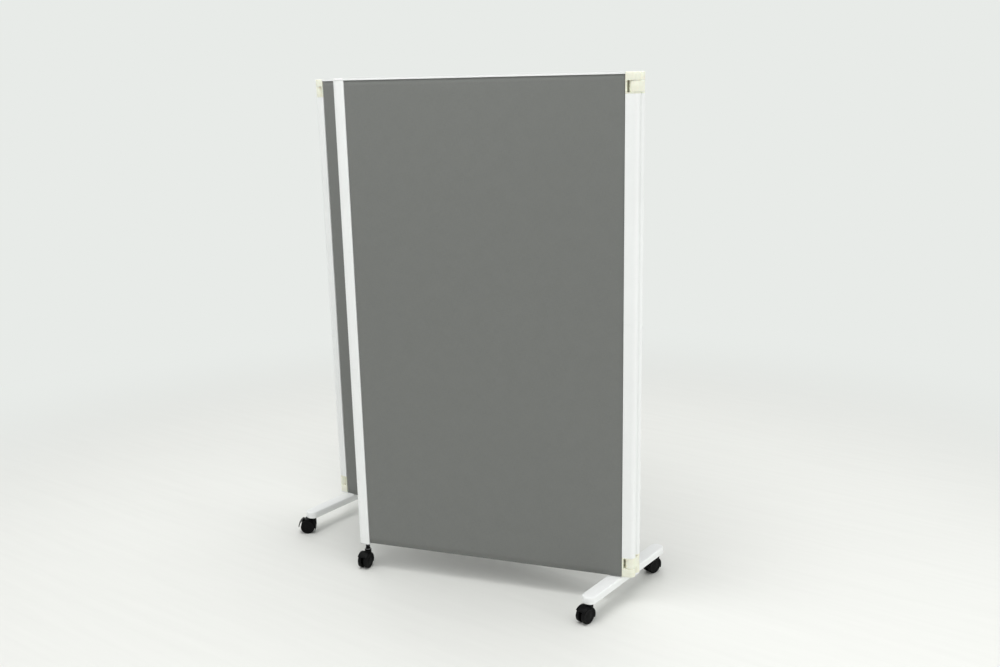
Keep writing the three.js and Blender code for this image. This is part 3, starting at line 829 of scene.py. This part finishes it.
def foot_stem(name):
    """Stem of a caster under a foot."""
    body, pin = stem_base(name)
    shank = upright_rod("shank", SHANK_R, FLANGE_LOW + 0.4 * MM, SHANK_TOP, 0.8 * MM)
    return smooth(combine(body, [pin, shank], "UNION"))


def wing_stem(name, post_low):
    """Stem with its plate and plug; the swivel axis is at the origin, the post's nose towards +X."""
    body, pin = stem_base(name)
    neck = upright_rod("neck", NECK_R - MM, FLANGE_LOW + 0.1 * MM, post_low + BITE, 0.3 * MM)
    nut = soft_prism("nut", round_arcs(0, 0, NUT_R, 6), post_low - NUT_H, post_low + 0.5 * MM, 0.5 * MM)
    plate_top = post_low + END_PLATE
    end = soft_prism("end", nose_arcs(), post_low, plate_top, 0.4 * MM, 0.1 * MM)
    shift(end, -STEM_X)
    plug = soft_prism("plug", inner_arcs(), post_low + BITE, plate_top + SPIGOT_L, 0, 0.8 * MM)
    shift(plug, -STEM_X)
    return smooth(combine(body, [pin, neck, nut, end, plug], "UNION"))


def sleeve_of_stem(name, post_low):
    """Black bush round the neck of a wing's stem, with a shoulder at its foot."""
    low, high = CASTER_TOP + 1.4 * MM, post_low - NUT_H - 0.4 * MM
    inside, shoulder = NECK_R - BUSH_T, NECK_R + MM
    profile = [(inside, low), (shoulder, low), (shoulder, low + 2 * MM), (NECK_R, low + 2.8 * MM)]
    profile += [(NECK_R, high - 1.2 * MM), (NECK_R - 0.4 * MM, high), (inside, high)]
    rings = [[(x, y, z) for x, y in around(round_arcs(0, 0, radius, 40))] for radius, z in profile]
    return smooth(outward(stack(name, rings, closed=True)))


# ---------------------------------------------------------------- where everything goes


def turned(at, angle):
    """Place at a point, turned about Z."""
    return Matrix.Translation(at) @ Matrix.Rotation(angle, 4, "Z")


def flat_angle(vector):
    """Direction of a vector from above."""
    return math.atan2(vector.y, vector.x)


def level(vector):
    """Same vector at the floor's height."""
    return Vector((vector.x, vector.y, 0))


MATERIALS = {
    "fabric": fabric_material(),
    "white_paint": paint_material(),
    "cream_plastic": moulding_material("cream_moulding", srgb(237, 238, 222), srgb(230, 230, 211)),
    "white_plastic": moulding_material("white_moulding", srgb(237, 238, 237), srgb(230, 231, 228)),
    "black_plastic": nylon_material("black_nylon", srgb(9, 9, 10), 0.02, 0.3),
    "steel": steel_material(),
    "board": board_material(),
}
TREAD = nylon_material("black_tread", srgb(8, 8, 9), 0.04, 0.42)

PANEL_LOW, PANEL_HIGH = z_span("centre_bottom_rail")[0], z_span("centre_top_rail")[1]
centre_cover_low, centre_cover_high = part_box("centre_fabric")
CENTRE_W = centre_cover_high.x * 2 + 2 * FIT
COVER_T = centre_cover_high.y - centre_cover_low.y
COVER_LOW, COVER_HIGH = centre_cover_low.z, centre_cover_high.z
PIVOT_X = abs(joint_at("front_wing_link_pivot").x)
slots = {row["node"]: row["material_slot"] for row in frame["record"]["subparts"]}


def restyle_nodes():
    """Every CAD node that stays gets its slot's worked-out material."""
    for node, obj in frame["nodes"].items():
        for index in range(len(obj.material_slots)):
            obj.material_slots[index].material = MATERIALS[slots[node]]


def panel(name, body, place, width):
    """Fabric of one panel; the panel's middle is at the place's origin."""
    half = width / 2 - FIT
    low, high = Vector((-half, -COVER_T / 2, COVER_LOW)), Vector((half, COVER_T / 2, COVER_HIGH))
    sleeve, girth = fabric_sleeve(f"{name}_cover", low, high)
    solid = sleeve.modifiers.new("thickness", "SOLIDIFY")
    solid.thickness, solid.offset = CLOTH_T, -1
    dress(sleeve, f"{name}_cover", body, "fabric", [f"{name}_fabric"], place)


def hinge_end(name, body, place):
    """Post and two forks at a panel's hinge end."""
    low, high = z_span(f"{name}_post")
    post = smooth(tube(f"{name}_post_shell", nose_arcs(), POST_WALL, low, high))
    dress(post, f"{name}_post_shell", body, "white_paint", [f"{name}_post"], place)
    upper = shift(fork("upper", TOP_KNUCKLE_H), z=PANEL_HIGH)
    dress(upper, f"{name}_upper_fork", body, "cream_plastic", [f"{name}_fork_top"], place)
    lower = shift(fork("lower", BOTTOM_KNUCKLE_H), z=PANEL_LOW, rotate=Matrix.Rotation(math.pi, 3, "X"))
    dress(lower, f"{name}_lower_fork", body, "cream_plastic", [f"{name}_fork_bottom"], place)


def free_end(name, body, place):
    """Post, cap and caster's stem at a wing's free end."""
    low, high = z_span(f"{name}_free_post")
    post = smooth(tube(f"{name}_free_post_shell", nose_arcs(), POST_WALL, low, high))
    dress(post, f"{name}_free_post_shell", body, "white_paint", [f"{name}_free_post"], place)
    top = shift(cap("cap", PANEL_HIGH - high - FIT), z=PANEL_HIGH)
    dress(top, f"{name}_end_cap", body, "white_plastic", [f"{name}_post_cap"], place)
    post_low = low - FIT - END_PLATE
    stem = wing_stem("stem", post_low)
    swivel = place @ Matrix.Translation((STEM_X, 0, 0))
    dress(stem, f"{name}_stem_fitting", body, "steel", [f"caster_{name}_stem"], swivel)
    bush = sleeve_of_stem("bush", post_low)
    dress(bush, f"{name}_stem_bush", body, "black_plastic", [], swivel)


def links(name, first, second):
    """Upper and lower link between two hinge axes."""
    pitch = level(second - first).length
    place = turned(level(first), flat_angle(second - first))
    spans = {
        "top": (PANEL_HIGH - TOP_KNUCKLE_H - LINK_ROOM, PANEL_HIGH - TOP_KNUCKLE_H),
        "bottom": (PANEL_LOW + BOTTOM_KNUCKLE_H, PANEL_LOW + BOTTOM_KNUCKLE_H + LINK_ROOM),
    }
    for end, (low, high) in spans.items():
        made = link(f"{name}_{end}_link", pitch, low + LINK_SEAM, high - LINK_SEAM)
        dress(made, f"{name}_{end}_link", f"{name}_links", "cream_plastic", [f"{name}_link_{end}"], place)


def foot(name):
    """Foot bar with rounded ends, and the pad that the panel stands on."""
    low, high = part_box(name)
    side = 1 if low.x + high.x > 0 else -1
    inner_x = side * min(abs(low.x), abs(high.x))
    centre_x = inner_x + side * FOOT_W / 2
    plan = box_arcs(centre_x - FOOT_W / 2, centre_x + FOOT_W / 2, low.y, high.y, FOOT_CORNER_R, 12)
    body = soft_prism(name, plan, low.z, FOOT_TOP, FOOT_SOFT_LOW, FOOT_SOFT_HIGH, 6)
    ends = sorted((inner_x + side * PAD_IN, side * (PIVOT_X + PAD_OUT)))
    seat = box_arcs(*ends, -PAD_HALF, PAD_HALF, 1 * MM)
    pad = soft_prism("pad", seat, FOOT_TOP - 3 * BITE, high.z, 0, 0.5 * MM)
    combine(body, [pad], "UNION")
    holes = []
    for end in ("front", "rear"):
        at = joint_at(f"caster_{name.split('_')[1]}_{end}_swivel")
        holes.append(soft_prism("hole", round_arcs(at.x, at.y, SOCKET_R), low.z - BITE, low.z + SOCKET_L, 0))
    smooth(combine(body, holes, "DIFFERENCE"))
    dress(body, f"{name}_bar", "centre_panel", "white_paint", [name])


def casters():
    """Every caster, at its swivel's place and trailing to its axle, from one set of solids."""
    wheels = {"a": wheel("wheel_a", 1), "b": wheel("wheel_b", -1)}
    hoods = {braked: hood("hood", braked) for braked in (False, True)}
    treadle, stem = pedal("pedal"), foot_stem("stem")
    for key in [k for k in joints if k.startswith("caster_") and k.endswith("_swivel")]:
        name = key[: -len("_swivel")]
        at, axle = level(joint_at(key)), level(joint_at(f"{name}_axle_a"))
        place = turned(at, flat_angle(axle - at))
        braked = f"{name}_brake_pedal" in joints
        hood_body, pedal_body = f"{name}_hood", f"{name}_brake_pedal"
        dress(copy_of(hoods[braked]), f"{name}_shell", hood_body, "black_plastic", [hood_body], place)
        for half, solid in wheels.items():
            body = f"{name}_wheel_{half}"
            dress(copy_of(solid), f"{name}_tyre_{half}", body, "black_plastic", [body], place, TREAD)
        if braked:
            dress(copy_of(treadle), f"{name}_treadle", pedal_body, "black_plastic", [pedal_body], place)
        if "wing" not in name:
            upright = Matrix.Translation(at)
            dress(copy_of(stem), f"{name}_pin", "centre_panel", "steel", [f"{name}_stem"], upright)
    for spare in (*wheels.values(), *hoods.values(), treadle, stem):
        bpy.data.objects.remove(spare)


# ---------------------------------------------------------------- studio

AMBIENT = 0.7
BACKDROP = srgb(232, 235, 232)
FLOOR = srgb(224, 225, 221)
FLOOR_HALF = 40
FADE = (1.3, 3.4)  # metres from the middle, over which the floor turns into the backdrop
LAMPS = (  # name, place, target, size, watts
    ("ceiling", (0.1, 0.1, 3.5), (0.0, 0.0, 0.0), 3.4, 60),
    ("overhead", (0.1, -0.8, 3.3), (0.1, -0.6, 0.0), 1.2, 24),
    ("window", (3.6, 0.3, 1.0), (0.3, 0.0, 0.6), 2.2, 25),
    ("front", (0.7, -2.7, 0.5), (0.1, -0.2, 0.4), 1.3, 5),
    ("doorway", (-3.2, -1.8, 1.0), (-0.3, -0.2, 0.2), 2.4, 3),
)


def floor_material():
    """Pale floor with faint streaks, which turns into the backdrop with the distance."""
    n = Nodes("pale_floor", FLOOR, 0.6)
    streak = n.noise(n.place(scale=(2.2, 30, 1)), 1.0, 5, 0.6)
    n.out(Base_Color=n.mix(n.remap(streak, 0.3, 0.7, 0, 1), shade(FLOOR, 0.985), shade(FLOOR, 1.015)))
    distance = n.add("VectorMath", Vector=n.place())
    distance.operation = "LENGTH"
    fade = n.add("MapRange", Value=distance.outputs["Value"])
    fade.interpolation_type = "SMOOTHERSTEP"
    fade.inputs["From Min"].default_value, fade.inputs["From Max"].default_value = FADE
    ray = n.add("LightPath")
    visible = n.math("MAXIMUM", ray.outputs["Is Camera Ray"], ray.outputs["Is Glossy Ray"])
    glow = n.add("Emission", Color=(*BACKDROP, 1), Strength=1.0)
    blend = n.add("MixShader", Fac=n.math("MULTIPLY", fade.outputs[0], visible))
    n.put(blend.inputs[1], n.shader.outputs[0])
    n.put(blend.inputs[2], glow.outputs[0])
    n.put(n.tree.nodes["Material Output"].inputs["Surface"], blend.outputs[0])
    return n.material


def studio_floor():
    """Wide floor at z = 0."""
    corners = [(x * FLOOR_HALF, y * FLOOR_HALF, 0) for x, y in ((-1, -1), (1, -1), (1, 1), (-1, 1))]
    floor = new_object("studio_floor", corners, [(0, 1, 2, 3)])
    floor.data.materials.append(floor_material())


def studio_world():
    """Even light from all round; seen directly, it is the backdrop."""
    world = bpy.data.worlds.new("studio")
    bpy.context.scene.world = world
    world.use_nodes = True
    tree = world.node_tree
    ray = tree.nodes.new("ShaderNodeLightPath")
    seen = tree.nodes.new("ShaderNodeMath")
    seen.operation = "MAXIMUM"
    tree.links.new(ray.outputs["Is Camera Ray"], seen.inputs[0])
    tree.links.new(ray.outputs["Is Glossy Ray"], seen.inputs[1])
    tint = tree.nodes.new("ShaderNodeMixRGB")
    tree.links.new(seen.outputs[0], tint.inputs["Fac"])
    tint.inputs["Color1"].default_value = (AMBIENT, AMBIENT, AMBIENT, 1)
    tint.inputs["Color2"].default_value = (*BACKDROP, 1)
    tree.links.new(tint.outputs[0], tree.nodes["Background"].inputs["Color"])


def lamp(name, at, target, size, watts):
    """Square lamp that the camera doesn't see."""
    data = bpy.data.lights.new(name, "AREA")
    data.shape, data.size, data.energy = "SQUARE", size, watts
    made = bpy.data.objects.new(name, data)
    made.location = at
    made.visible_camera = False
    made.rotation_euler = (Vector(target) - Vector(at)).to_track_quat("-Z", "Y").to_euler()
    bpy.context.scene.collection.objects.link(made)


# ---------------------------------------------------------------- making

make_camera()
restyle_nodes()

panel("centre", "centre_panel", Matrix.Identity(4), CENTRE_W)
hinge_end("centre_right", "centre_panel", turned((CENTRE_W / 2, 0, 0), 0))
hinge_end("centre_left", "centre_panel", turned((-CENTRE_W / 2, 0, 0), math.pi))
for wing in ("front_wing", "rear_wing"):
    anchor, axis = joint_at(f"{wing}_link_pivot"), joint_at(f"{wing}_pivot")
    stem_at = joint_at(f"caster_{wing}_swivel")
    inward = level(stem_at - axis)
    wing_w = inward.length - NOSE_X - STEM_X
    way = flat_angle(inward)
    unit = inward.normalized()
    near, far = level(axis) + unit * NOSE_X, level(axis) + unit * (NOSE_X + wing_w)
    panel(wing, wing, turned((near + far) / 2, way + math.pi), wing_w)
    hinge_end(f"{wing}_hinge", wing, turned(near, way + math.pi))
    free_end(wing, wing, turned(far, way))
    links(wing, anchor, axis)
for name in ("foot_right", "foot_left"):
    foot(name)
casters()
studio_floor()
studio_world()
for row in LAMPS:
    lamp(*row)

bpy.context.scene.view_settings.view_transform = "Standard"
